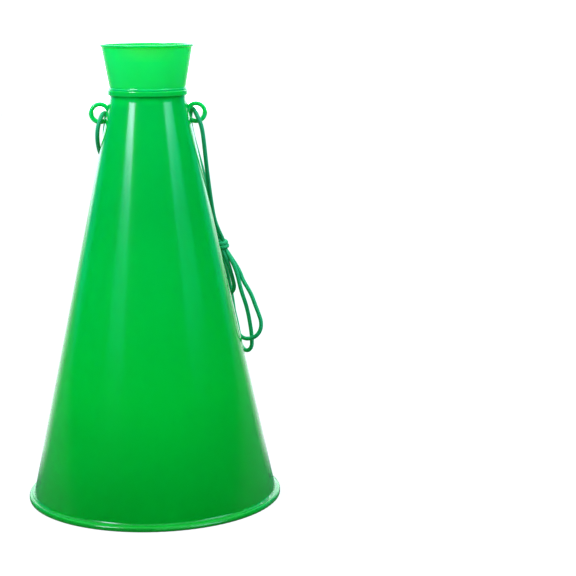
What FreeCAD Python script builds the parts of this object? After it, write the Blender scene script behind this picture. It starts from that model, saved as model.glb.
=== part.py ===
import FreeCAD, Part
import math
import os

import Sketcher

"""Cheer megaphone: a moulded horn with two eyelets, a push-fit mouthpiece and a knotted neck cord.

Millimetres. Z runs up the horn's axis from the rim of the bell, which the megaphone stands on,
to the mouthpiece. X points to the right eyelet and Y to the back, where the cord is gathered.
"""

DOC = FreeCAD.newDocument("megaphone")
SHEET = DOC.addObject("Spreadsheet::Sheet", "sizes")

SIZES = [
    ("total_height", 245.0),
    ("bell_radius", 66.7),  # outside of the cone, carried down to the floor
    ("neck_radius", 19.5),  # outside of the cone, carried up to neck_height
    ("neck_height", 218.7),
    ("horn_wall", 1.23),  # measured level, so 1.2 square to the slope
    ("lip_radius", 68.8),
    ("lip_height", 2.8),
    ("lip_round", 1.3),
    ("lip_toe", 0.7),
    ("lip_root", 1.5),
    ("flare_height", 216.0),
    ("flare_radius", 20.0),
    ("flare_round", 6.0),
    ("bead_bottom", 218.5),
    ("bead_radius", 21.2),
    ("bead_round", 0.6),  # at its top edge
    ("bead_foot_round", 0.3),
    ("joint_height", 221.3),
    ("socket_radius", 18.0),
    ("socket_bottom", 213.3),
    ("socket_foot", 210.0),
    ("fit_clearance", 0.05),
    ("spigot_length", 10.0),
    ("spigot_wall", 1.3),
    ("spigot_lead", 0.5),
    ("ledge_radius", 20.7),
    ("ledge_height", 0.8),
    ("ledge_round", 0.3),
    ("cup_base_radius", 20.1),
    ("cup_top_radius", 23.9),
    ("cup_wall", 1.3),
    ("cup_floor", 2.4),
    ("cup_root", 0.7),
    ("mouth_lip_radius", 24.85),
    ("mouth_lip_height", 1.3),
    ("mouth_lip_round", 0.55),
    ("eyelet_height", 209.0),
    ("eyelet_reach", 25.4),  # from the horn's axis to the middle of the ring
    ("eyelet_radius", 4.65),  # to the middle of the ring's own thickness
    ("eyelet_wire", 1.2),
    ("foot_half_length", 5.9),
    ("foot_shoulder", 0.7),  # the part of the half length that is at full rise
    ("foot_width", 1.8),
    ("foot_rise", 0.55),
    ("foot_sunk", 1.0),
    ("cord_diameter", 2.4),
    ("knot_radius", 4.0),
    ("knot_length", 8.2),
    ("knot_round", 1.6),
    ("knot_reach", 41.9),  # from the horn's axis to the middle of the knot
    ("knot_height", 135.7),
    ("knot_bearing", 22.5),  # degrees round the axis from the right eyelet to the back
    ("hank_gap", 0.5),  # between the hank and the wall of the horn
]

# The two stretches of cord that are not coiled, each from the knot, through an eyelet and back to
# the knot. The right one comes up in front of its ring and goes down behind it.
RIGHT_ROUTE = [
    (39.8, 15.0, 137.6),
    (37.5, 12.5, 142.6),
    (34.8, 10.2, 149.6),
    (33.2, 7.3, 159.0),
    (31.9, 3.8, 168.8),
    (30.7, 0.8, 178.4),
    (29.6, -1.5, 189.6),
    (28.7, -2.8, 198.2),
    (27.6, -3.2, 203.4),
    (26.1, -2.7, 206.6),
    (25.0, -0.5, 209.0),
    (24.1, 2.2, 210.8),
    (23.4, 5.0, 210.5),
    (22.6, 7.8, 208.2),
    (22.3, 10.2, 203.4),
    (23.6, 11.3, 196.0),
    (26.0, 10.7, 187.0),
    (28.8, 9.7, 176.6),
    (31.1, 10.6, 165.0),
    (33.0, 12.5, 154.0),
    (34.3, 14.7, 145.6),
    (35.6, 14.5, 141.2),
    (37.3, 14.1, 137.6),
]
# The left one climbs round the back of the horn, comes forward through its ring, and goes back
# round below itself.
LEFT_ROUTE = [
    (36.2, 16.5, 137.8),
    (35.1, 17.1, 141.4),
    (32.5, 19.4, 145.4),
    (26.8, 25.0, 150.4),
    (17.2, 31.0, 156.8),
    (6.5, 33.5, 163.6),
    (-4.5, 32.3, 170.4),
    (-14.1, 27.7, 177.6),
    (-20.8, 20.8, 184.6),
    (-23.6, 14.2, 192.0),
    (-23.3, 11.2, 199.4),
    (-22.5, 9.6, 204.4),
    (-22.5, 7.4, 207.6),
    (-22.9, 4.8, 208.9),
    (-23.5, 2.1, 208.9),
    (-24.3, -0.4, 208.0),
    (-25.2, -2.6, 206.1),
    (-26.3, -3.3, 203.0),
    (-27.0, -2.5, 199.0),
    (-27.1, 0.0, 194.6),
    (-26.9, 5.0, 191.2),
    (-26.3, 11.4, 187.0),
    (-23.1, 19.4, 181.2),
    (-16.6, 27.1, 174.4),
    (-6.9, 32.6, 167.2),
    (4.6, 34.6, 159.8),
    (16.3, 32.6, 152.6),
    (25.7, 27.6, 146.4),
    (31.9, 21.8, 141.8),
    (35.8, 19.9, 139.5),
    (39.0, 18.0, 137.8),
]
# The gathered loops as level ovals, highest first: centre across, centre back, height, half width
# across and half depth. Each loop's bottom end is rounded off by the last small oval.
HANK_OVALS = [
    (39.9, 16.6, 131.2, 3.8, 3.9),
    (43.0, 17.9, 121.0, 6.8, 5.9),
    (47.9, 18.0, 106.0, 9.2, 7.9),
    (52.4, 17.4, 95.0, 8.5, 8.4),
    (53.0, 17.4, 86.0, 7.4, 8.2),
    (51.8, 19.0, 79.0, 5.0, 6.0),
    (51.9, 19.3, 73.8, 2.4, 3.2),
]

SMALL = 1e-6
SEAM_BEARING = 90  # degrees; a round face's seam kept clear of the eyelets and the cord


def fill_sheet():
    """Write every driving dimension into the sheet and name its cell."""
    for row, (alias, value) in enumerate(SIZES, start=1):
        SHEET.set(f"A{row}", alias)
        SHEET.set(f"B{row}", str(value))
        SHEET.setAlias(f"B{row}", alias)
    DOC.recompute()


def size(alias):
    """The number that a cell holds."""
    return float(SHEET.get(alias))


def cell(alias):
    """The cell as an expression writes it."""
    return f"sizes.{alias}"


def bind(thing, **formulas):
    """Tie properties of an object to formulas over the sheet's cells."""
    for name, formula in formulas.items():
        thing.setExpression(name.replace("__", "."), formula)


def cone_at(height):
    """Formula for the outside radius of the horn's cone at a height."""
    drop = f"({cell('bell_radius')} - {cell('neck_radius')}) * ({height}) / {cell('neck_height')}"
    return f"{cell('bell_radius')} - {drop}"


def origin_plane(body, role):
    """One of a body's own origin planes or axes."""
    return next(f for f in body.Origin.OriginFeatures if f.Role == role)


def outline(body, name, corners):
    """A closed sketch of straight lines in the XZ plane, each corner held by two formulas."""
    sketch = body.newObject("Sketcher::SketchObject", name)
    sketch.AttachmentSupport = (origin_plane(body, "XZ_Plane"), [""])
    sketch.MapMode = "FlatFace"
    spots = [
        FreeCAD.Vector(float(SHEET.evalExpression(x)), float(SHEET.evalExpression(z)), 0)
        for x, z in corners
    ]
    count = len(spots)
    for index, spot in enumerate(spots):
        sketch.addGeometry(Part.LineSegment(spot, spots[(index + 1) % count]), False)
    for index in range(count):
        sketch.addConstraint(Sketcher.Constraint("Coincident", index, 2, (index + 1) % count, 1))
    for index, (corner, spot) in enumerate(zip(corners, spots)):
        for kind, formula, value in (
            ("DistanceX", corner[0], spot.x),
            ("DistanceY", corner[1], spot.y),
        ):
            if abs(value) < SMALL:
                sketch.addConstraint(Sketcher.Constraint("PointOnObject", index, 1, -1))
                continue
            number = sketch.addConstraint(Sketcher.Constraint(kind, -1, 1, index, 1, value))
            sketch.setExpression(f"Constraints[{number}]", formula)
    return sketch


def turned_body(label, corners):
    """A body of revolution about Z from an outline."""
    body = DOC.addObject("PartDesign::Body", label)
    body.Label = label
    sketch = outline(body, f"{label}_outline", corners)
    turn = body.newObject("PartDesign::Revolution", f"{label}_turn")
    turn.Profile = sketch
    turn.ReferenceAxis = (origin_plane(body, "Z_Axis"), [""])
    turn.Angle = 360
    DOC.recompute()
    return body


def round_edges(body, name, radius, spots):
    """Round the circular edges at the given radius and height pairs, each a pair of formulas."""
    base = body.Tip
    wanted = []
    for reach, height in spots:
        r = float(SHEET.evalExpression(reach))
        z = float(SHEET.evalExpression(height))
        wanted += [
            f"Edge{number}"
            for number, edge in enumerate(base.Shape.Edges, start=1)
            if isinstance(edge.Curve, Part.Circle)
            and abs(edge.Curve.Radius - r) < 0.01
            and abs(edge.Curve.Center.z - z) < 0.01
        ]
    fillet = body.newObject("PartDesign::Fillet", name)
    fillet.Base = (base, wanted)
    bind(fillet, Radius=cell(radius))
    DOC.recompute()


def make_horn():
    """The cone, its rolled bell lip, the bead at the neck and the socket inside it."""
    wall = cell("horn_wall")
    lip_top = cell("lip_height")
    bead_low = cell("bead_bottom")
    top = cell("joint_height")
    body = turned_body("horn", [
        (f"{cell('bell_radius')} - {wall}", "0"),
        (cell("lip_radius"), "0"),
        (cell("lip_radius"), lip_top),
        (cone_at(lip_top), lip_top),
        (cone_at(cell("flare_height")), cell("flare_height")),
        (cell("flare_radius"), bead_low),
        (cell("bead_radius"), bead_low),
        (cell("bead_radius"), top),
        (cell("socket_radius"), top),
        (cell("socket_radius"), cell("socket_bottom")),
        (f"{cone_at(cell('socket_foot'))} - {wall}", cell("socket_foot")),
    ])
    round_edges(body, "lip_top_round", "lip_round", [(cell("lip_radius"), lip_top)])
    round_edges(body, "lip_toe_round", "lip_toe", [(cell("lip_radius"), "0")])
    round_edges(body, "lip_root_round", "lip_root", [(cone_at(lip_top), lip_top)])
    round_edges(body, "flare_blend", "flare_round", [(cone_at(cell("flare_height")), cell("flare_height"))])
    round_edges(body, "bead_top_round", "bead_round", [(cell("bead_radius"), top)])
    round_edges(body, "bead_foot_rounding", "bead_foot_round", [(cell("bead_radius"), bead_low)])
    return body


def make_mouthpiece():
    """The flared cup, with a ledge that sits on the neck and a spigot that plugs into it."""
    seat = f"{cell('joint_height')} + {cell('fit_clearance')}"
    spigot = f"{cell('socket_radius')} - {cell('fit_clearance')}"
    bottom = f"{cell('joint_height')} - {cell('spigot_length')}"
    ledge_top = f"{cell('joint_height')} + {cell('ledge_height')}"
    top = cell("total_height")
    lip_low = f"{top} - {cell('mouth_lip_height')}"
    bore_top = f"{cell('cup_top_radius')} - {cell('cup_wall')}"
    body = turned_body("mouthpiece", [
        (spigot, bottom),
        (spigot, seat),
        (cell("ledge_radius"), seat),
        (cell("ledge_radius"), ledge_top),
        (cell("cup_base_radius"), ledge_top),
        (cell("cup_top_radius"), lip_low),
        (cell("mouth_lip_radius"), lip_low),
        (cell("mouth_lip_radius"), top),
        (bore_top, top),
        (bore_top, lip_low),
        (f"{cell('cup_base_radius')} - {cell('cup_wall')}", f"{cell('joint_height')} + {cell('cup_floor')}"),
        (f"{spigot} - {cell('spigot_wall')}", cell("joint_height")),
        (f"{spigot} - {cell('spigot_wall')}", bottom),
    ])
    round_edges(body, "spigot_lead_round", "spigot_lead", [(spigot, bottom)])
    round_edges(body, "ledge_edge", "ledge_round", [(cell("ledge_radius"), ledge_top)])
    round_edges(body, "cup_root_round", "cup_root", [(cell("cup_base_radius"), ledge_top)])
    round_edges(body, "mouth_lip_rounds", "mouth_lip_round", [
        (cell("mouth_lip_radius"), top),
        (cell("mouth_lip_radius"), lip_low),
        (bore_top, top),
    ])
    return body


def horn_cone(name, gap):
    """The full cone of the horn's outside, grown by a gap, for cutting neighbours to its wall."""
    cone = DOC.addObject("Part::Cone", name)
    bind(
        cone,
        Radius1=f"{cell('bell_radius')} + {gap}",
        Radius2=f"{cell('neck_radius')} + {gap}",
        Height=cell("neck_height"),
    )
    cone.Placement.Rotation = FreeCAD.Rotation(FreeCAD.Vector(0, 0, 1), 180 + SEAM_BEARING)
    return cone


def make_foot(label, side):
    """A slim upright strip on the wall that ends in a point above and below the ring."""
    middle = cell("eyelet_height")
    half = cell("foot_half_length")
    shoulder = f"{half} * {cell('foot_shoulder')}"
    sunk = cell("foot_sunk")
    heights = [
        (f"{middle} - {half}", "0"),
        (f"{middle} - {shoulder}", cell("foot_rise")),
        (f"{middle} + {shoulder}", cell("foot_rise")),
        (f"{middle} + {half}", "0"),
        (f"{middle} + {half}", f"-{sunk}"),
        (f"{middle} - {half}", f"-{sunk}"),
    ]
    body = DOC.addObject("PartDesign::Body", f"{label}_foot")
    corners = [(f"{side} * ({cone_at(height)} + {rise})", height) for height, rise in heights]
    sketch = outline(body, f"{label}_foot_outline", corners)
    pad = body.newObject("PartDesign::Pad", f"{label}_foot_pad")
    pad.Profile = sketch
    pad.Midplane = True
    bind(pad, Length=cell("foot_width"))
    DOC.recompute()
    return body


def make_eyelet(label, side):
    """A moulded ring standing out from the wall, with a slim foot that runs along the wall."""
    ring = DOC.addObject("Part::Torus", f"{label}_ring")
    bind(
        ring,
        Radius1=cell("eyelet_radius"),
        Radius2=cell("eyelet_wire"),
        Placement__Base__x=f"{side} * {cell('eyelet_reach')}",
        Placement__Base__z=cell("eyelet_height"),
    )
    away = FreeCAD.Rotation(FreeCAD.Vector(0, 0, 1), 90 + 90 * side)
    ring.Placement.Rotation = away * FreeCAD.Rotation(FreeCAD.Vector(1, 0, 0), 90)
    whole = DOC.addObject("Part::Fuse", f"{label}_whole")
    whole.Base = ring
    whole.Tool = make_foot(label, side)
    eyelet = DOC.addObject("Part::Cut", label)
    eyelet.Base = whole
    eyelet.Tool = horn_cone(f"{label}_wall", "0")
    eyelet.Label = label
    return eyelet


def corner_arc(before, corner, after):
    """The arc that rounds a corner of a cord's route, and its radius."""
    arriving = corner - before
    leaving = after - corner
    turn = arriving.getAngle(leaving)
    cut = 0.45 * min(arriving.Length, leaving.Length)
    radius = cut / math.tan(turn / 2)
    start = corner - arriving.normalize() * cut
    end = corner + leaving.normalize() * cut
    inward = (leaving - arriving).normalize()
    centre = corner + inward * math.hypot(radius, cut)
    return Part.Arc(start, centre - inward * radius, end), radius


def make_cord(label, route):
    """A round tube along straight runs joined by tangent arcs."""
    points = [FreeCAD.Vector(*point) for point in route]
    edges = []
    radii = []
    here = points[0]
    for before, corner, after in zip(points, points[1:], points[2:]):
        arc, radius = corner_arc(before, corner, after)
        edges.append(Part.LineSegment(here, arc.StartPoint).toShape())
        edges.append(arc.toShape())
        here = arc.EndPoint
        radii.append(radius)
    edges.append(Part.LineSegment(here, points[-1]).toShape())
    path = Part.Wire(edges)
    half = size("cord_diameter") / 2
    section = Part.Wire(Part.Circle(points[0], points[1] - points[0], half).toShape())
    tube = path.makePipeShell([section], True, True)
    cord = DOC.addObject("Part::Feature", label)
    cord.Shape = tube
    cord.Label = label
    expected = math.pi * half**2 * path.Length
    print(f"{label}: length {path.Length:.1f}, volume {tube.Volume / expected:.4f} of section x length")
    print(f"{label}: radii {', '.join(f'{r:.1f}' for r in radii)}")
    return cord


def knot_placement():
    """The knot lies along the wall of the horn, on its right rear side."""
    bearing = math.radians(size("knot_bearing"))
    outward = FreeCAD.Vector(math.cos(bearing), math.sin(bearing), 0)
    slope = (size("bell_radius") - size("neck_radius")) / size("neck_height")
    along = (outward * slope - FreeCAD.Vector(0, 0, 1)).normalize()
    middle = outward * size("knot_reach") + FreeCAD.Vector(0, 0, size("knot_height"))
    turned = FreeCAD.Rotation(FreeCAD.Vector(0, 0, 1), along)
    return FreeCAD.Placement(middle - along * (size("knot_length") / 2), turned)


def make_knot():
    """A short barrel round the gathered strands."""
    barrel = DOC.addObject("Part::Cylinder", "cord_knot_barrel")
    bind(barrel, Radius=cell("knot_radius"), Height=cell("knot_length"))
    barrel.Placement = knot_placement()
    DOC.recompute()
    ends = [
        number
        for number, edge in enumerate(barrel.Shape.Edges, start=1)
        if isinstance(edge.Curve, Part.Circle)
    ]
    knot = DOC.addObject("Part::Fillet", "cord_knot")
    knot.Base = barrel
    knot.Edges = [(number, size("knot_round"), size("knot_round")) for number in ends]
    knot.Label = "cord_knot"
    return knot


def make_hank():
    """The outer shape of the loops that hang from the knot, cut to lie along the horn."""
    ovals = []
    for number, (across, back, height, half_width, half_depth) in enumerate(HANK_OVALS, start=1):
        oval = DOC.addObject("Part::Ellipse", f"hank_oval_{number}")
        wide = half_width >= half_depth
        oval.MajorRadius = max(half_width, half_depth)
        oval.MinorRadius = min(half_width, half_depth)
        turned = FreeCAD.Rotation(FreeCAD.Vector(0, 0, 1), 0 if wide else 90)
        oval.Placement = FreeCAD.Placement(FreeCAD.Vector(across, back, height), turned)
        ovals.append(oval)
    body = DOC.addObject("Part::Loft", "hank_body")
    body.Sections = ovals
    body.Solid = True
    body.Ruled = False
    hank = DOC.addObject("Part::Cut", "cord_hank")
    hank.Base = body
    hank.Tool = horn_cone("hank_wall", cell("hank_gap"))
    hank.Label = "cord_hank"
    return hank


def write_parts(parts):
    """Check the whole document, then write each sub-part to its own file."""
    DOC.recompute()
    for thing in DOC.Objects:
        if "Invalid" in thing.State or "Error" in thing.State:
            raise RuntimeError(f"{thing.Name} failed: {thing.State}")
    for part in parts:
        if part.Shape.isNull() or not part.Shape.isValid():
            raise RuntimeError(f"{part.Label} has no valid shape")
    os.makedirs("parts", exist_ok=True)
    for part in parts:
        part.Shape.exportStep(f"parts/{part.Label}.step")
        box = part.Shape.BoundBox
        print(
            f"{part.Label}: {len(part.Shape.Solids)} solid, {part.Shape.Volume:.0f} mm3, "
            f"x {box.XMin:.1f}..{box.XMax:.1f}, y {box.YMin:.1f}..{box.YMax:.1f}, "
            f"z {box.ZMin:.1f}..{box.ZMax:.1f}"
        )


fill_sheet()
write_parts([
    make_horn(),
    make_mouthpiece(),
    make_eyelet("right_eyelet", 1),
    make_eyelet("left_eyelet", -1),
    make_cord("cord_right", RIGHT_ROUTE),
    make_cord("cord_left", LEFT_ROUTE),
    make_knot(),
    make_hank(),
])
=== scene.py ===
# %% [markdown]
# # A cheer megaphone, dressed in Blender
#
# The real thing is a small hand-held horn in translucent green plastic: a moulded cone that stands
# on its bell, a brighter flared mouthpiece pushed into its neck, two moulded eyelets, and a braided
# neck cord through both eyelets, its slack tied up in a hank at the right rear.
#
# The moulded pieces have exact shapes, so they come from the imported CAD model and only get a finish
# here. The cord is soft, so it is laid out here along its real route. Everything is in metres, in
# the CAD's own frame.

# %% Load the frame
import math

import bpy
import numpy as np
from mathutils import Matrix, Vector


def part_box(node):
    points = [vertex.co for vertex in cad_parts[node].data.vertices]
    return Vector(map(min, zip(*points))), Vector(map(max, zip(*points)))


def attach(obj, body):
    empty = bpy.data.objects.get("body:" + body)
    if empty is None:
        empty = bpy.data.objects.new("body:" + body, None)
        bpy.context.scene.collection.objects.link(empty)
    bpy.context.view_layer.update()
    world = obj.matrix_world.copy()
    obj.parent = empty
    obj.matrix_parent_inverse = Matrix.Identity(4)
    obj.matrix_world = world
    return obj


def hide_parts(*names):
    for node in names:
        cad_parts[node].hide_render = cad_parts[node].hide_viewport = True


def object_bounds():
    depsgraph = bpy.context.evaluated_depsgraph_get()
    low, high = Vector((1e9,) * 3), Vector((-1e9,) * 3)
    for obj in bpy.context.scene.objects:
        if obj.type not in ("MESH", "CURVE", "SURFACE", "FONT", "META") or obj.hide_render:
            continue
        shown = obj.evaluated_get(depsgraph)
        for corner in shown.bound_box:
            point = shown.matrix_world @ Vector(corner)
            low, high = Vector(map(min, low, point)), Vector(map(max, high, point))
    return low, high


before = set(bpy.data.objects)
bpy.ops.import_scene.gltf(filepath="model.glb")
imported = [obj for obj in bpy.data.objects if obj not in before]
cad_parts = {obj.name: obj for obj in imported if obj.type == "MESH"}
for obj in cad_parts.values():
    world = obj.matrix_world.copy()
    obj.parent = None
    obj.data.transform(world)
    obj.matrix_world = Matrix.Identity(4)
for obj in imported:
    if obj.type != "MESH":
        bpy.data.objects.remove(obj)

MM = 0.001
cad_box = [list(corner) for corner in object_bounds()]
TOTAL_HEIGHT = cad_box[1][2]

# %% [markdown]
# ## The camera
#
# A product shot is taken from a little above, with a long lens so that the upright cone doesn't
# splay. The camera stands a few heights away, looks down about ten degrees and a little to the
# right, because the megaphone stands left of the middle of the frame. Position and angles are given
# rather than a target to look at, so that nothing moves if the object's size changes slightly.

# %% Camera
CAMERA_DISTANCE = 0.8537
CAMERA_HEIGHT = 0.26928
LOOK_RIGHT = 0.0864  # radians
LOOK_DOWN = 0.1803
ROLL = -0.0044


def make_camera():
    """A 100 mm lens on a 36 mm sensor, aimed by three angles."""
    data = bpy.data.cameras.new("product_camera")
    data.lens = 100
    data.sensor_width = 36
    camera = bpy.data.objects.new("product_camera", data)
    bpy.context.scene.collection.objects.link(camera)
    forward = Vector((
        math.sin(LOOK_RIGHT) * math.cos(LOOK_DOWN),
        math.cos(LOOK_RIGHT) * math.cos(LOOK_DOWN),
        -math.sin(LOOK_DOWN),
    ))
    level = Vector((math.cos(LOOK_RIGHT), -math.sin(LOOK_RIGHT), 0))
    upright = level.cross(forward)
    right = level * math.cos(ROLL) + upright * math.sin(ROLL)
    up = upright * math.cos(ROLL) - level * math.sin(ROLL)
    turned = Matrix((right, up, -forward)).transposed().to_4x4()
    camera.matrix_world = Matrix.Translation((0, -CAMERA_DISTANCE, CAMERA_HEIGHT)) @ turned
    bpy.context.scene.camera = camera
    return camera


camera = make_camera()
print(f"camera {CAMERA_DISTANCE * 1000:.0f} mm in front, lens {camera.data.lens:.0f} mm")

# %% [markdown]
# ## The cord's route
#
# The neck cord is one length of soft 2.4 mm braid. From the knot it runs up in front of the right
# eyelet, through it and back down behind; round the back of the cone, through the left eyelet and
# back again; and its slack hangs from the knot in three loops.
#
# A cord could be a simulated rope, but this one is held by its knot and its own springiness, so its
# route is a short list of points, in millimetres, that a smooth spline rounds off. The two stretches
# between the knot and the eyelets are the same points that the CAD tubes have.

# %% Route points
CORD_RADIUS = 1.2 * MM
START_IN_KNOT = [(38.9, 16.6, 136.0), (38.9, 15.2, 134.2)]
SHORT_LOOP = [
    (39.2, 13.9, 131.6), (40.5, 13.9, 128.8), (42.4, 14.4, 124.6), (43.7, 15.1, 119.8),
    (44.9, 15.8, 115.2), (45.6, 16.6, 111.8), (45.1, 17.4, 109.2), (43.0, 18.8, 106.7),
    (40.3, 21.3, 106.6), (38.4, 23.3, 109.4), (37.8, 23.7, 114.4), (37.4, 22.8, 119.8),
    (37.2, 20.4, 125.6), (37.6, 18.2, 130.4),
]
RIGHT_STRETCH = [
    (39.8, 15.0, 137.6), (37.5, 12.5, 142.6), (34.8, 10.2, 149.6), (33.2, 7.3, 159.0),
    (31.9, 3.8, 168.8), (30.7, 0.8, 178.4), (29.6, -1.5, 189.6), (28.7, -2.8, 198.2),
    (27.6, -3.2, 203.4), (26.1, -2.7, 206.6), (25.0, -0.5, 209.0), (24.1, 2.2, 210.8),
    (23.4, 5.0, 210.5), (22.6, 7.8, 208.2), (22.3, 10.2, 203.4), (23.6, 11.3, 196.0),
    (26.0, 10.7, 187.0), (28.8, 9.7, 176.6), (31.1, 10.6, 165.0), (33.0, 12.5, 154.0),
    (34.3, 14.7, 145.6), (35.6, 14.5, 141.2), (37.3, 14.1, 137.6),
]
WIDE_LOOP = [
    (41.7, 17.2, 131.4), (43.5, 17.3, 128.4), (46.3, 16.9, 124.2), (48.8, 15.8, 119.6),
    (50.3, 14.2, 115.2), (53.0, 12.6, 110.9), (55.0, 11.5, 107.0), (56.6, 10.8, 102.2),
    (58.5, 10.3, 97.2), (60.0, 10.1, 92.4), (59.5, 10.4, 87.6), (57.0, 11.0, 84.2),
    (53.6, 12.6, 82.6), (50.2, 15.8, 82.3), (47.6, 19.2, 84.4), (46.4, 21.0, 89.2),
    (45.6, 21.6, 96.4), (44.6, 21.9, 104.4), (43.1, 21.1, 112.8), (41.1, 19.2, 121.2),
    (38.7, 17.0, 127.8), (37.3, 15.6, 131.6),
]
LEFT_STRETCH = [
    (36.2, 16.5, 137.8), (35.1, 17.1, 141.4), (32.5, 19.4, 145.4), (26.8, 25.0, 150.4),
    (17.2, 31.0, 156.8), (6.5, 33.5, 163.6), (-4.5, 32.3, 170.4), (-14.1, 27.7, 177.6),
    (-20.8, 20.8, 184.6), (-23.6, 14.2, 192.0), (-23.3, 11.2, 199.4), (-22.5, 9.6, 204.4),
    (-22.5, 7.4, 207.6), (-22.9, 4.8, 208.9), (-23.5, 2.1, 208.9), (-24.3, -0.4, 208.0),
    (-25.2, -2.6, 206.1), (-26.3, -3.3, 203.0), (-27.0, -2.5, 199.0), (-27.1, 0.0, 194.6),
    (-26.9, 5.0, 191.2), (-26.3, 11.4, 187.0), (-23.1, 19.4, 181.2), (-16.6, 27.1, 174.4),
    (-6.9, 32.6, 167.2), (4.6, 34.6, 159.8), (16.3, 32.6, 152.6), (25.7, 27.6, 146.4),
    (31.9, 21.8, 141.8), (35.8, 19.9, 139.5), (39.0, 18.0, 137.8),
]
LONG_LOOP = [
    (41.4, 14.8, 131.6), (42.9, 14.0, 128.6), (45.3, 13.4, 124.2), (47.1, 13.1, 119.0),
    (48.3, 13.1, 113.4), (49.7, 13.4, 108.0), (51.5, 13.8, 102.8), (52.9, 14.0, 97.2),
    (53.9, 14.2, 91.4), (54.7, 14.6, 85.8), (55.0, 15.0, 81.4), (54.9, 15.5, 77.5),
    (53.1, 17.7, 74.7), (50.8, 20.9, 74.7), (49.0, 23.2, 77.6), (48.4, 24.1, 82.6),
    (47.4, 24.5, 89.0), (45.6, 24.8, 96.8), (43.9, 24.8, 104.8), (42.1, 23.9, 113.0),
    (40.8, 22.2, 121.0), (40.0, 20.0, 127.4), (39.8, 18.8, 131.6),
]
END_IN_KNOT = [(39.2, 17.4, 134.2), (38.6, 16.2, 136.0)]
# One point inside the knot joins each pair of stretches, so the cord is one unbroken line.
ROUTE = [
    *START_IN_KNOT, *SHORT_LOOP,
    (38.5, 16.4, 134.6), *RIGHT_STRETCH,
    (39.3, 15.0, 134.6), *WIDE_LOOP,
    (37.3, 16.2, 134.6), *LEFT_STRETCH,
    (40.0, 16.6, 134.8), *LONG_LOOP,
    *END_IN_KNOT,
]
print(f"{len(ROUTE)} route points")

# %% [markdown]
# ## From points to a smooth line
#
# A NURBS spline of order 3 passes smoothly inside its control points, the way a limp cord rounds its
# corners. Blender works the spline out; the line is read back from it as points, then spaced evenly,
# so that the braid has the same pitch everywhere.

# %% Smooth line
def smooth_line(name, route):
    """The points of one open NURBS spline through a route in millimetres, as an array in metres."""
    data = bpy.data.curves.new(name, "CURVE")
    data.dimensions = "3D"
    spline = data.splines.new("NURBS")
    spline.points.add(len(route) - 1)
    for point, place in zip(spline.points, route):
        point.co = (*(value * MM for value in place), 1)
    spline.order_u = 3
    spline.use_endpoint_u = True
    spline.resolution_u = 16
    bare = bpy.data.objects.new(name, data)
    mesh = bpy.data.meshes.new_from_object(bare)
    line = np.array([vertex.co for vertex in mesh.vertices])
    bpy.data.meshes.remove(mesh)
    bpy.data.curves.remove(data)
    return line


def evenly_spaced(line, step):
    """The same line with its points a step apart, and how far along it each one is."""
    run = np.linalg.norm(np.diff(line, axis=0), axis=1)
    along = np.concatenate([[0], np.cumsum(run)])
    count = math.ceil(along[-1] / step) + 1
    spots = np.linspace(0, along[-1], count)
    return np.stack([np.interp(spots, along, line[:, axis]) for axis in range(3)], axis=1), spots


cord_line = smooth_line("cord_route", ROUTE)
cord_points, cord_along = evenly_spaced(cord_line, 0.3 * MM)

# %% [markdown]
# ## The braid
#
# A round neck cord is plaited from a dozen yarns, half winding each way, so its surface is a net of
# small slanting bumps. A picture of a braid could be wrapped on a smooth tube, but the outline would
# stay smooth. Here the tube's own surface follows the plait: at each point one yarn is on top, and
# the surface stands proud along the middle of that yarn and dips where two meet. The mesh keeps that
# height as an attribute, so that the yarn's finish can paint shade into the dips.

# %% Braided tube
YARNS_EACH_WAY = 6
YARN_SPACING = 1.2 * MM  # along the cord, between yarns that wind the same way
YARN_RELIEF = 0.18  # share of the radius
SIDES = 24
FIRST_SIDE = (0.3, 0.2, 0.9)  # any direction that the cord's own start doesn't have


def plait_height(along, turn):
    """How proud the surface stands, 0 to 1, at a distance along the cord and a share of a turn."""
    one_way = YARNS_EACH_WAY * turn + along / YARN_SPACING
    other_way = YARNS_EACH_WAY * turn - along / YARN_SPACING
    across_one = np.sin(np.pi * (one_way % 1))
    across_other = np.sin(np.pi * (other_way % 1))
    first_on_top = (np.floor(one_way) + np.floor(other_way)) % 2 == 0
    ridge = np.where(first_on_top, across_one * across_other**0.3, across_other * across_one**0.3)
    return ridge**0.8


def carried_frames(points):
    """Two directions square to the line at each point, carried along it without twisting."""
    tangents = np.gradient(points, axis=0)
    tangents /= np.linalg.norm(tangents, axis=1)[:, None]
    side = np.cross(tangents[0], FIRST_SIDE)
    sides = np.empty_like(points)
    for number, tangent in enumerate(tangents):
        side = side - tangent * (side @ tangent)
        side /= np.linalg.norm(side)
        sides[number] = side
    return sides, np.cross(tangents, sides)


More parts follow.
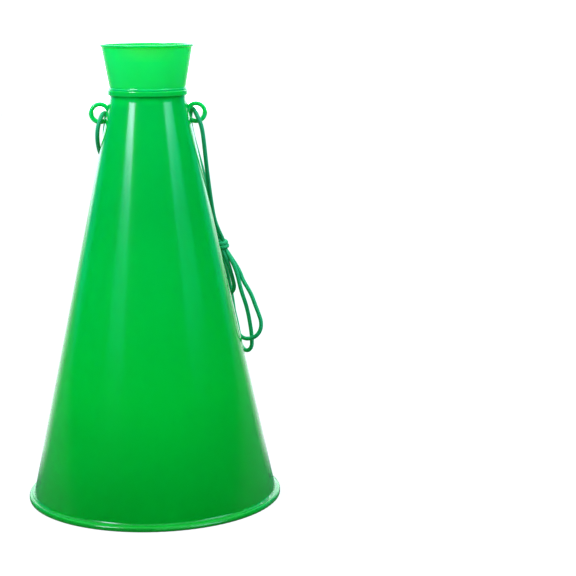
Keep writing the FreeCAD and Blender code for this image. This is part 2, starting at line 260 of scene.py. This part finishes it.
def braided_tube(name, points, along, radius):
    """A closed tube of braid along evenly spaced points."""
    sides, others = carried_frames(points)
    turn = np.arange(SIDES) / SIDES
    spots, turns = np.meshgrid(along, turn, indexing="ij")
    height = plait_height(spots, turns)
    reach = radius * (1 - YARN_RELIEF * (1 - height))
    angle = math.tau * turns
    sideways = sides[:, None] * (reach * np.cos(angle))[..., None]
    upwards = others[:, None] * (reach * np.sin(angle))[..., None]
    rings = points[:, None] + sideways + upwards
    vertices = [*rings.reshape(-1, 3), points[0], points[-1]]
    faces = []
    for ring in range(len(points) - 1):
        for side in range(SIDES):
            here = ring * SIDES + side
            beside = ring * SIDES + (side + 1) % SIDES
            faces.append((here, beside, beside + SIDES, here + SIDES))
    first, last = len(vertices) - 2, len(vertices) - 1
    end = (len(points) - 1) * SIDES
    for side in range(SIDES):
        beside = (side + 1) % SIDES
        faces.append((first, beside, side))
        faces.append((last, end + side, end + beside))
    mesh = bpy.data.meshes.new(name)
    mesh.from_pydata(vertices, [], faces)
    mesh.shade_smooth()
    # The height also drives the yarn finish's painted shade in the dips.
    plait = mesh.attributes.new("plait", "FLOAT", "POINT")
    plait.data.foreach_set("value", np.concatenate([height.ravel(), [0.5, 0.5]]))
    piece = bpy.data.objects.new(name, mesh)
    bpy.context.scene.collection.objects.link(piece)
    return piece


neck_cord = braided_tube("neck_cord", cord_points, cord_along, CORD_RADIUS)
print(f"neck_cord: {len(neck_cord.data.vertices)} points in {len(cord_points)} rings")

# %% [markdown]
# ## The knot
#
# The tie is the same cord wound about twice round the gathered strands and pulled tight, its ends
# tucked in under the turns. Its turns lean, as they do in an overhand knot, and the lower turn is
# the fatter one because it lies over more strands. A coil is a formula, so a loop makes its points:
# a helix about the strands' own direction, starting and ending near the middle of the bundle.

# %% Tie
KNOT_LOW, KNOT_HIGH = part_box("cord_knot")
KNOT_MIDDLE = (KNOT_LOW + KNOT_HIGH) / 2
WALL_LEAN = 0.216  # outwards for each unit down
OUTWARD = Vector((KNOT_MIDDLE.x, KNOT_MIDDLE.y, 0)).normalized()
DOWN_THE_WALL = (OUTWARD * WALL_LEAN - Vector((0, 0, 1))).normalized()
ACROSS = DOWN_THE_WALL.cross(OUTWARD).normalized()
AWAY = ACROSS.cross(DOWN_THE_WALL).normalized()
if AWAY.dot(OUTWARD) < 0:
    AWAY = -AWAY
POINTS_A_TURN = 12
TIE_TURNS = 2.4
TIE_START = 2.3  # radians round the bundle from its outermost side
TIE_TOP = -2.5 * MM  # down the bundle from the middle of the knot
TIE_RUN = 4.7 * MM  # further down, to the last turn
TUCKED = 1.1 * MM  # from the bundle's middle to the hidden ends
WOUND = 1.6 * MM  # further out, to the first full turn
FATTER = 0.45 * MM  # further out still, at the last turn
LEAN = 0.28  # rise of a turn for each unit of its reach
LEAN_BEARING = 0.4  # radians
TUCK_SHARE = 1 / 6  # of the tie, at each end


def tie_route():
    """Points of a leaning helix round the bundle, in millimetres, its ends tucked inwards."""
    count = round(POINTS_A_TURN * TIE_TURNS)
    points = []
    for number in range(count + 1):
        share = number / count
        angle = math.tau * TIE_TURNS * share + TIE_START
        untucked = min(1, share / TUCK_SHARE, (1 - share) / TUCK_SHARE)
        reach = TUCKED + (WOUND + FATTER * share) * untucked
        down = TIE_TOP + TIE_RUN * share + LEAN * reach * math.cos(angle - LEAN_BEARING)
        place = KNOT_MIDDLE + DOWN_THE_WALL * down
        place = place + AWAY * (reach * math.cos(angle)) + ACROSS * (reach * math.sin(angle))
        points.append(tuple(value / MM for value in place))
    return points


tie_points, tie_along = evenly_spaced(smooth_line("tie_route", tie_route()), 0.3 * MM)
cord_tie = braided_tube("cord_tie", tie_points, tie_along, CORD_RADIUS)
print(f"cord_tie: {tie_along[-1] * 1000:.0f} mm of cord in {TIE_TURNS} turns")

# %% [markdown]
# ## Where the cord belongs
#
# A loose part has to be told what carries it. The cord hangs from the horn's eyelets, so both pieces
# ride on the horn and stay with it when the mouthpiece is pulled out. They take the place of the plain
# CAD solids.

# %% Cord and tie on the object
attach(neck_cord, "horn_body")
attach(cord_tie, "horn_body")
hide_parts("cord_right", "cord_left", "cord_hank")
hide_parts("cord_knot")
print(f"the cord starts and ends in the knot at {[round(value, 4) for value in KNOT_MIDDLE]}")

# %% [markdown]
# ## Finishes
#
# Every finish is one Principled shader fed by a few procedural nodes. Painted pictures would need UV
# maps and would stay fixed at one sharpness, so noise and height in the object's own coordinates are
# used instead. A few small helpers keep the node wiring readable.

# %% Node helpers
def node_tools(tree):
    """For one node tree: a function that adds a node with its inputs, and one that connects."""
    def connect(value, socket):
        if isinstance(value, bpy.types.NodeSocket):
            tree.links.new(value, socket)
        else:
            socket.default_value = value

    def add(kind, *in_order, **by_name):
        node = tree.nodes.new(kind)
        for socket, value in zip(node.inputs, in_order):
            connect(value, socket)
        for label, value in by_name.items():
            connect(value, node.inputs[label.replace("_", " ")])
        return node

    return add, connect


def new_material(name):
    """A node material, its Principled shader, and the two functions for its node tree."""
    material = bpy.data.materials.new(name)
    material.use_nodes = True
    shader = next(node for node in material.node_tree.nodes if node.type == "BSDF_PRINCIPLED")
    add, connect = node_tools(material.node_tree)
    return material, shader, add, connect


def calculate(add, operation, *values):
    """The result of one step of arithmetic between node outputs or numbers."""
    node = add("ShaderNodeMath", *values)
    node.operation = operation
    return node.outputs["Value"]


def blend_colours(add, share, stops):
    """The colour that a list of (share, colour) stops has at the share that a node gives."""
    node = add("ShaderNodeValToRGB", Fac=share)
    elements = node.color_ramp.elements
    for element, (spot, colour) in zip(elements, (stops[0], stops[-1])):
        element.position = spot
        element.color = (*colour, 1)
    for spot, colour in stops[1:-1]:
        elements.new(spot).color = (*colour, 1)
    return node.outputs["Color"]


print("helpers ready for the finishes and the room")


# %% [markdown]
# ## Green translucent plastic
#
# The horn and mouthpiece are polypropylene: light goes a few millimetres into the wall and comes out
# greener, and the skin is glossy from a polished mould. Glass-like transmission would show the inside
# too clearly, so the colour comes from subsurface scattering under a smooth coat. Real mouldings are
# never perfectly even: the colour drifts where the melt flowed, the polish varies, and the skin has a
# faint ripple that keeps reflections from being ruler-straight.

# %% Moulded plastic
GLOSS = (0.12, 0.16)  # roughness, from the best polished spots to the dullest


def moulded_plastic(name, depth, low, high, stops, tint=None):
    """Glossy translucent plastic; colours by height, light reaching a depth in metres."""
    material, shader, add, connect = new_material(name)
    place = add("ShaderNodeTexCoord").outputs["Object"]
    height = add("ShaderNodeSeparateXYZ", place).outputs["Z"]
    level = add("ShaderNodeMapRange", height, From_Min=low, From_Max=high)
    flow = add("ShaderNodeTexNoise", Vector=place, Scale=28.0, Detail=3.0, Roughness=0.5)
    swirl = add("ShaderNodeMapRange", flow.outputs["Fac"], To_Min=-0.04, To_Max=0.04)
    share = calculate(add, "ADD", level.outputs["Result"], swirl.outputs["Result"])
    # The colour stops by height can carry painted light and shade over the plastic's own green.
    colour = blend_colours(add, share, stops)
    if tint:
        colour = tint(add, connect, place, colour)
    connect(colour, shader.inputs["Base Color"])
    polish = add("ShaderNodeTexNoise", Vector=place, Scale=160.0, Detail=4.0)
    gloss = add("ShaderNodeMapRange", polish.outputs["Fac"], To_Min=GLOSS[0], To_Max=GLOSS[1])
    connect(gloss.outputs["Result"], shader.inputs["Roughness"])
    ripple = add("ShaderNodeTexNoise", Vector=place, Scale=60.0, Detail=2.0)
    bump = add("ShaderNodeBump", Strength=0.04, Distance=0.0005, Height=ripple.outputs["Fac"])
    connect(bump.outputs["Normal"], shader.inputs["Normal"])
    shader.inputs["IOR"].default_value = 1.49
    shader.inputs["Subsurface Weight"].default_value = 1.0
    shader.inputs["Subsurface Radius"].default_value = (0.25, 1.0, 0.4)
    shader.inputs["Subsurface Scale"].default_value = depth
    print(f"{name}: light reaches {depth / MM:.0f} mm into it")
    return material


print(f"roughness {GLOSS[0]} where the mould was best polished, {GLOSS[1]} where it was dullest")

# %% [markdown]
# ## The horn's colour, with painted light and shade
#
# The horn's green is painted deepest at its wide end, where the far wall is a long way off and
# little light gets inside: painted shade. It is painted lightest in the narrow neck, brightest just
# under the bead, for the light that comes through the thin walls there and in place of the bead's
# shadow: painted light. The thin eyelet rings are a lighter copy of the same plastic: painted light.
# One list of colours by height carries all of this, which a single colour can't.

# %% Horn and eyelets
JOINT_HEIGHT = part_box("horn")[1].z
# The horn's green with painted shade towards the bell and painted light in the neck under the bead.
HORN_COLOURS_AND_PAINTED_LIGHT = [
    (0.0, (0.0, 0.28, 0.0150)),
    (0.3, (0.0, 0.465, 0.031)),
    (0.6, (0.0, 0.485, 0.049)),
    (0.72, (0.0, 0.455, 0.049)),
    (0.97, (0.0, 0.51, 0.065)),
    (0.985, (0.0, 0.68, 0.076)),
    (1.0, (0.0, 0.59, 0.077)),
]
# A lighter copy of the horn's green for the eyelet rings: painted light.
EYELET_COLOURS_PAINTED_LIGHTER = [
    (0.0, (0.0, 0.70, 0.11)),
    (1.0, (0.0, 0.70, 0.13)),
]
horn_plastic = moulded_plastic("horn_plastic", 3 * MM, 0.0, JOINT_HEIGHT, HORN_COLOURS_AND_PAINTED_LIGHT)
eyelet_plastic_painted_lighter = moulded_plastic("eyelet_plastic_painted_lighter", 2 * MM, 0.0, JOINT_HEIGHT, EYELET_COLOURS_PAINTED_LIGHTER)
print(f"both by height, 0 to {JOINT_HEIGHT * 1000:.0f} mm")

# %% [markdown]
# ## The mouthpiece's plastic, with painted light and shade
#
# The mouthpiece is moulded apart. Its green is painted lighter than the horn's and lighter towards the
# top, for the light that comes in through its open top and thin walls: painted light. The lip itself
# is painted darker again: painted shade. Just below the lip, front and back, where one looks through
# the cup, the wall gets a painted yellower glow: a second colour mixed in by height and by distance
# from the middle.

# %% Mouthpiece
CUP_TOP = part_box("mouthpiece")[1].z
PAINTED_GLOW_GREEN = (0.06, 0.72, 0.115)


def painted_glow_under_lip(add, connect, place, colour):
    """The colour, with a painted yellower glow in a patch just below the middle of the lip."""
    axes = add("ShaderNodeSeparateXYZ", place)
    below = calculate(add, "SUBTRACT", CUP_TOP, axes.outputs["Z"])
    near_lip = add("ShaderNodeMapRange", below, From_Min=9 * MM, From_Max=2 * MM)
    under_edge = add("ShaderNodeMapRange", below, From_Min=1.0 * MM, From_Max=1.4 * MM)
    aside = calculate(add, "ABSOLUTE", axes.outputs["X"])
    middle = add("ShaderNodeMapRange", aside, From_Min=17 * MM, From_Max=4 * MM)
    patch = near_lip.outputs["Result"]
    for limit in (middle, under_edge):
        patch = calculate(add, "MULTIPLY", patch, limit.outputs["Result"])
    # The patch mixes in a painted glow.
    mix = add("ShaderNodeMix", patch)
    mix.data_type = "RGBA"
    # A Mix node has sockets for numbers, vectors and colours: 6 and 7 are its two colours, 2 the result.
    connect(colour, mix.inputs[6])
    mix.inputs[7].default_value = (*PAINTED_GLOW_GREEN, 1)
    return mix.outputs[2]


# Lighter towards the top and darker on the lip: painted light and painted shade over the green.
CUP_COLOURS_AND_PAINTED_LIGHT = [
    (0.0, (0.0, 0.68, 0.115)),
    (0.92, (0.0, 0.76, 0.155)),
    (0.955, (0.0, 0.50, 0.11)),
]
mouthpiece_plastic = moulded_plastic(
    "mouthpiece_plastic", 5 * MM, JOINT_HEIGHT, CUP_TOP, CUP_COLOURS_AND_PAINTED_LIGHT, tint=painted_glow_under_lip,
)
print(f"mouthpiece colours from {JOINT_HEIGHT * 1000:.0f} to {CUP_TOP * 1000:.0f} mm")

# %% [markdown]
# ## The cord's yarn
#
# Polyester braid is matt with a soft sheen, because light skims off thousands of fine filaments. The
# yarns themselves are in the mesh, so the finish only paints shade into the dips between them, breaks
# up the colour from filament to filament, and adds their fine grain as a bump.

# %% Braided yarn
def braided_yarn(name):
    """Matt yarn, with painted shade where two yarns meet."""
    material, shader, add, connect = new_material(name)
    place = add("ShaderNodeTexCoord").outputs["Object"]
    filaments = add("ShaderNodeTexNoise", Vector=place, Scale=2600.0, Detail=2.0).outputs["Fac"]
    plait = add("ShaderNodeAttribute")
    plait.attribute_name = "plait"
    # The plait height paints shade into the dips where two yarns meet.
    painted_dip_shade = calculate(add, "MULTIPLY", plait.outputs["Fac"], 0.7)
    share = calculate(add, "MULTIPLY_ADD", filaments, 0.3, painted_dip_shade)
    colour = blend_colours(add, share, [
        (0.25, (0.001, 0.06, 0.018)),
        (0.55, (0.006, 0.36, 0.125)),
        (0.9, (0.014, 0.92, 0.340)),
    ])
    connect(colour, shader.inputs["Base Color"])
    bump = add("ShaderNodeBump", Strength=0.3, Distance=0.0001, Height=filaments)
    connect(bump.outputs["Normal"], shader.inputs["Normal"])
    shader.inputs["Roughness"].default_value = 0.7
    shader.inputs["Sheen Weight"].default_value = 0.3
    shader.inputs["Sheen Roughness"].default_value = 0.5
    shader.inputs["Sheen Tint"].default_value = (0.2, 1.0, 0.5, 1)
    return material


cord_braid = braided_yarn("cord_braid")
print(f"{cord_braid.name}: {len(cord_braid.node_tree.nodes)} nodes")

# %% [markdown]
# ## Putting the finishes on
#
# A mesh shows the materials in its slots. The slots are emptied first, so that nothing a piece came
# with can show, and then each piece gets its one finish. All six could have a finish of their own, but
# both eyelets are the same plastic and the tie is the same yarn as the cord, so four are enough.

# %% Dress the pieces
def dress(piece, material):
    """The piece shows this one material."""
    piece.data.materials.clear()
    piece.data.materials.append(material)
    print(f"{piece.name}: {material.name}")


dress(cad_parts["horn"], horn_plastic)
dress(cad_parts["left_eyelet"], eyelet_plastic_painted_lighter)
dress(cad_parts["right_eyelet"], eyelet_plastic_painted_lighter)
dress(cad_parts["mouthpiece"], mouthpiece_plastic)
dress(neck_cord, cord_braid)
dress(cord_tie, cord_braid)

# %% [markdown]
# ## The table
#
# A catalogue picture of a glossy thing is mostly about what it reflects. The table is white to the
# eye but throws little light of its own, or it would veil the plastic. A lit lane on it, widening
# away behind the object, is what the cone's outer edges and the cup's sides mirror as pale rims.

# %% Floor
HALF_WIDTH = cad_box[1][0]
FLOOR_REACH = 3.0  # metres each way
FLOOR_DEPTH = 0.1 * MM  # below the object, so that the two faces don't fight


def flat_square(name, reach, height):
    """A level square of one face, centred on the object."""
    mesh = bpy.data.meshes.new(name)
    corners = [(x * reach, y * reach, height) for x, y in ((-1, -1), (1, -1), (1, 1), (-1, 1))]
    mesh.from_pydata(corners, [], [(0, 1, 2, 3)])
    piece = bpy.data.objects.new(name, mesh)
    bpy.context.scene.collection.objects.link(piece)
    return piece


def white_table(name):
    """White to the eye; as light, it glows only in a widening lane behind the object."""
    material, shader, add, connect = new_material(name)
    shader.inputs["Base Color"].default_value = (0.12, 0.12, 0.12, 1)
    shader.inputs["Roughness"].default_value = 0.9
    shader.inputs["Specular IOR Level"].default_value = 0.0
    shader.inputs["Emission Color"].default_value = (1, 1, 1, 1)
    axes = add("ShaderNodeSeparateXYZ", add("ShaderNodeTexCoord").outputs["Object"])
    aside = calculate(add, "ABSOLUTE", axes.outputs["X"])
    beyond = calculate(add, "SUBTRACT", aside, HALF_WIDTH)
    spread = calculate(add, "DIVIDE", beyond, calculate(add, "MAXIMUM", axes.outputs["Y"], 0.01))
    lane = add("ShaderNodeMapRange", spread, From_Min=0.9, From_Max=0.3)
    behind = add("ShaderNodeMapRange", axes.outputs["Y"], From_Min=0.03, From_Max=0.12)
    lit = calculate(add, "MULTIPLY", lane.outputs["Result"], behind.outputs["Result"])
    seen = add("ShaderNodeLightPath").outputs["Is Camera Ray"]
    glow = add("ShaderNodeMix", seen, A=lit, B=0.9)
    connect(glow.outputs["Result"], shader.inputs["Emission Strength"])
    return material


studio_floor = flat_square("studio_floor", FLOOR_REACH, -FLOOR_DEPTH)
studio_floor.data.materials.append(white_table("white_table"))
print(f"studio_floor: {2 * FLOOR_REACH:.0f} m square")

# %% [markdown]
# ## The strip lights
#
# Two tall softboxes, left and right of the camera, make the two bright streaks down the cone. The
# wall leans back twelve degrees, so the neck mirrors the boxes' lower ends and the bell mirrors what
# is below them: the streaks fade out on the way down. Two dim blue-green lights under each box carry
# that fade, because a streak over deep green looks bluer as it weakens.

# %% Softboxes
COOL_WHITE = (0.78, 0.76, 1.0)
PALE_SKY = (0.50, 0.85, 1.0)
SKY = (0.05, 0.75, 1.0)
LIGHT_DISTANCE = 1.5  # metres from the object's axis


def softbox(name, bearing, height, width, tall, power, colour):
    """A rectangular light at a bearing from the camera's side, aimed at the middle of the object."""
    data = bpy.data.lights.new(name, "AREA")
    data.shape = "RECTANGLE"
    data.size = width
    data.size_y = tall
    data.energy = power
    data.color = colour
    light = bpy.data.objects.new(name, data)
    bpy.context.scene.collection.objects.link(light)
    angle = math.radians(bearing)
    light.location = (math.sin(angle) * LIGHT_DISTANCE, -math.cos(angle) * LIGHT_DISTANCE, height)
    aim = Vector((0, 0, TOTAL_HEIGHT * 0.6)) - light.location
    light.rotation_euler = aim.to_track_quat("-Z", "Y").to_euler()
    print(f"{name}: {power} W at {bearing} degrees")


softbox("left_strip", -49, 1.14, 0.52, 0.98, 26, COOL_WHITE)
softbox("left_strip_knee", -49, 0.63, 0.52, 0.18, 0.8, SKY)
softbox("left_strip_foot", -49, 0.43, 0.60, 0.2, 0.4, SKY)
softbox("right_strip", 62, 1.14, 0.80, 1.0, 14, PALE_SKY)
softbox("right_strip_knee", 62, 0.63, 0.80, 0.18, 1.0, SKY)
softbox("right_strip_foot", 62, 0.43, 0.80, 0.2, 0.4, SKY)

# %% [markdown]
# ## The room
#
# The room is white where the camera looks straight at it. As a source of light it is bright only
# overhead and behind: the ceiling lights the plastic from above without being mirrored by the steep
# cone, and the back wall gives the rims. The dim front keeps the middle of the cone deep green.

# %% White room
def white_room(name):
    """A world that is white to the eye, with a bright ceiling and back wall as light."""
    world = bpy.data.worlds.new(name)
    world.use_nodes = True
    add, connect = node_tools(world.node_tree)
    axes = add("ShaderNodeSeparateXYZ", add("ShaderNodeTexCoord").outputs["Generated"])
    ray = add("ShaderNodeLightPath")

    def rise(value, low, high, top, bottom=0.0):
        """From bottom to top, softly, while the value goes from low to high."""
        step = add("ShaderNodeMapRange", value, low, high, bottom, top)
        step.interpolation_type = "SMOOTHSTEP"
        return step.outputs["Result"]

    def glow(strength, colour):
        return add("ShaderNodeBackground", (*colour, 1), strength).outputs["Background"]

    # In reflections the ceiling counts for a third, so that it doesn't veil what faces up.
    mirrored = rise(ray.outputs["Is Glossy Ray"], 0, 1, 0.35, 1.0)
    overhead = calculate(add, "MULTIPLY", rise(axes.outputs["Z"], 0.42, 0.75, 2.5), mirrored)
    light = glow(overhead, (0.5, 1, 1))
    for part in (
        glow(rise(axes.outputs["Y"], 0.40, 0.60, 0.8), (0.04, 0.6, 0.8)),  # wide bluish back wall
        glow(rise(axes.outputs["Y"], 0.74, 0.92, 2.2), (0.95, 1.0, 1.0)),  # its bright white middle
        glow(ray.outputs["Is Camera Ray"], (1, 1, 1)),  # plain white to the eye
    ):
        light = add("ShaderNodeAddShader", light, part).outputs["Shader"]
    connect(light, world.node_tree.nodes["World Output"].inputs["Surface"])
    return world


bpy.context.scene.world = white_room("white_studio")
bpy.context.scene.view_settings.view_transform = "Standard"
print("room and view ready")
